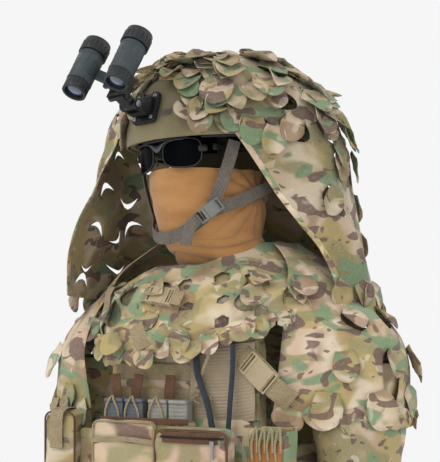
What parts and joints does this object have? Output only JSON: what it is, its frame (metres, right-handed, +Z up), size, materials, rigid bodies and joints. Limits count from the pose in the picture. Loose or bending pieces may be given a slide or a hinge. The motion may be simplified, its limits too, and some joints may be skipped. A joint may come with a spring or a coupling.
{
  "type": "ghillie suit",
  "caption": "Worn leaf-cut camouflage hood, cape and sleeves over a helmet with flip-up binocular viewer, eyewear, gaiter and plate carrier with pouches.",
  "frame": {"origin": "the middle of the wearer's shoulder line, where the harness rests", "axes": "the wearer faces -Y, the wearer's left is +X, +Z is up"},
  "size_m": [0.636, 0.5149, 0.7908],
  "materials": {
    "helmet_shell_paint": "matte",
    "foam": "matte",
    "cover_cloth": "matte",
    "black_metal": "anodised black",
    "steel": "satin",
    "viewer_body": "matte",
    "black_plastic": "matte",
    "optic_glass": "coated",
    "frame_grey": "satin",
    "dark_lens": "gloss",
    "grey_webbing": "woven",
    "grey_buckle": "satin",
    "gaiter_knit": "knit",
    "camo_cloth": "printed ripstop",
    "carrier_cloth": "printed nylon",
    "armour": "matte",
    "magazine_polymer": "satin",
    "tab_webbing": "woven",
    "zip_metal": "satin",
    "tan_plastic": "satin",
    "tube_cover": "woven sleeve"
  },
  "bodies": {
    "root": {"helmet_shell": "helmet_shell_paint", "helmet_pads": "foam", "helmet_cover": "cover_cloth", "nvg_shroud": "black_metal", "mount_base": "black_metal", "mount_flip_pin": "steel", "eyewear_frame": "frame_grey", "eyewear_lens_left": "dark_lens", "eyewear_lens_right": "dark_lens", "chin_strap": "grey_webbing", "chin_buckle_female": "grey_buckle", "gaiter": "gaiter_knit", "hood": "camo_cloth", "cape": "camo_cloth", "yoke": "camo_cloth", "sleeve_left": "camo_cloth", "sleeve_right": "camo_cloth", "front_plate_bag": "carrier_cloth", "front_plate": "armour", "back_plate_bag": "carrier_cloth", "back_plate": "armour", "shoulder_straps": "carrier_cloth", "cummerbund": "carrier_cloth", "placard_panel": "carrier_cloth", "magazine_pocket": "carrier_cloth", "magazines": "magazine_polymer", "pull_tabs": "tab_webbing", "flat_pouch": "carrier_cloth", "zip_pouch": "carrier_cloth", "side_pouch": "carrier_cloth", "utility_pouch": "carrier_cloth", "strap_buckle_female": "tan_plastic", "yoke_buckle_female": "tan_plastic", "hydration_tube": "tube_cover", "radio_antenna": "tube_cover", "penlight": "black_plastic"},
    "nvg_arm": {"mount_arm": "black_metal"},
    "nvg_carriage": {"mount_carriage": "black_metal", "nvg_bridge": "viewer_body", "battery_cap": "black_plastic"},
    "pod_left": {"nvg_pod_left": "viewer_body"},
    "pod_right": {"nvg_pod_right": "viewer_body"},
    "focus_ring_left": {"objective_ring_left": "black_plastic", "objective_lens_left": "optic_glass"},
    "focus_ring_right": {"objective_ring_right": "black_plastic", "objective_lens_right": "optic_glass"},
    "diopter_ring_left": {"eyepiece_ring_left": "black_plastic", "eyepiece_lens_left": "optic_glass"},
    "diopter_ring_right": {"eyepiece_ring_right": "black_plastic", "eyepiece_lens_right": "optic_glass"},
    "power_knob_body": {"power_knob": "black_plastic"},
    "mount_lever_body": {"mount_lever": "black_metal"},
    "temple_left_body": {"temple_left": "frame_grey"},
    "temple_right_body": {"temple_right": "frame_grey"},
    "chin_tongue": {"chin_buckle_male": "grey_buckle"},
    "retention_dial_body": {"retention_dial": "black_plastic"},
    "strap_tongue": {"strap_buckle_male": "tan_plastic"},
    "yoke_tongue": {"yoke_buckle_male": "tan_plastic"},
    "zipper_body": {"zipper_slider": "zip_metal"},
    "penlight_button_body": {"penlight_button": "black_plastic"}
  },
  "joints": [
    {"name": "nvg_flip", "type": "hinge", "parent": "root", "child": "nvg_arm", "pos_m": [-0.04224, -0.23286, 0.26571], "axis": [0.9744, -0.2071, 0.0872], "range_deg": [0, 126]},
    {"name": "nvg_fore_aft", "type": "slide", "parent": "nvg_arm", "child": "nvg_carriage", "axis": [-0.0532, -0.5896, -0.8059], "range_m": [-0.004, 0.004]},
    {"name": "pod_swing_left", "type": "hinge", "parent": "nvg_carriage", "child": "pod_left", "pos_m": [-0.03042, -0.25644, 0.307], "axis": [0.0532, 0.5896, 0.8059], "range_deg": [-26, 50]},
    {"name": "focus_left", "type": "hinge", "parent": "pod_left", "child": "focus_ring_left", "pos_m": [-0.01117, -0.26257, 0.35984], "axis": [-0.0532, -0.5896, -0.8059], "range_deg": [-60, 60]},
    {"name": "diopter_left", "type": "hinge", "parent": "pod_left", "child": "diopter_ring_left", "pos_m": [-0.01527, -0.30797, 0.29778], "axis": [-0.0532, -0.5896, -0.8059], "range_deg": [-60, 60]},
    {"name": "pod_swing_right", "type": "hinge", "parent": "nvg_carriage", "child": "pod_right", "pos_m": [-0.0694, -0.24816, 0.30351], "axis": [-0.0532, -0.5896, -0.8059], "range_deg": [-26, 50]},
    {"name": "focus_right", "type": "hinge", "parent": "pod_right", "child": "focus_ring_right", "pos_m": [-0.09814, -0.24408, 0.35206], "axis": [-0.0532, -0.5896, -0.8059], "range_deg": [-60, 60]},
    {"name": "diopter_right", "type": "hinge", "parent": "pod_right", "child": "diopter_ring_right", "pos_m": [-0.10224, -0.28948, 0.29], "axis": [-0.0532, -0.5896, -0.8059], "range_deg": [-60, 60]},
    {"name": "power_knob_turn", "type": "hinge", "parent": "nvg_carriage", "child": "power_knob_body", "pos_m": [-0.05201, -0.26741, 0.29287], "axis": [-0.0532, -0.5896, -0.8059], "range_deg": [0, 90]},
    {"name": "mount_lever_press", "type": "hinge", "parent": "nvg_arm", "child": "mount_lever_body", "pos_m": [-0.03745, -0.25043, 0.27824], "axis": [-0.9744, 0.2071, -0.0872], "range_deg": [0, 20], "stiffness_Nm_per_rad": 0.15},
    {"name": "temple_fold_left", "type": "hinge", "parent": "root", "child": "temple_left_body", "pos_m": [0.06123, -0.14853, 0.20427], "axis": [-0.0853, 0.0181, 0.9962], "range_deg": [0, 80]},
    {"name": "temple_fold_right", "type": "hinge", "parent": "root", "child": "temple_right_body", "pos_m": [-0.09078, -0.11622, 0.19067], "axis": [0.0853, -0.0181, -0.9962], "range_deg": [0, 88]},
    {"name": "chin_buckle_release", "type": "slide", "parent": "root", "child": "chin_tongue", "axis": [-0.7172, -0.3515, -0.6017], "range_m": [0, 0.02]},
    {"name": "retention_dial_turn", "type": "hinge", "parent": "root", "child": "retention_dial_body", "pos_m": [0.1178, -0.04652, 0.15556], "axis": [0.991, 0.1053, 0.0829], "range_deg": [-170, 170]},
    {"name": "strap_buckle_release", "type": "slide", "parent": "root", "child": "strap_tongue", "axis": [-0.7431, 0, 0.6691], "range_m": [0, 0.03]},
    {"name": "yoke_buckle_release", "type": "slide", "parent": "root", "child": "yoke_tongue", "axis": [0.9903, -0.0738, -0.118], "range_m": [0, 0.022]},
    {"name": "zipper_run", "type": "slide", "parent": "root", "child": "zipper_body", "axis": [-1, 0, 0], "range_m": [0, 0.09]},
    {"name": "penlight_press", "type": "slide", "parent": "root", "child": "penlight_button_body", "axis": [-0.0698, 0, -0.9976], "range_m": [0, 0.0015], "stiffness_N_per_m": 400}
  ]
}
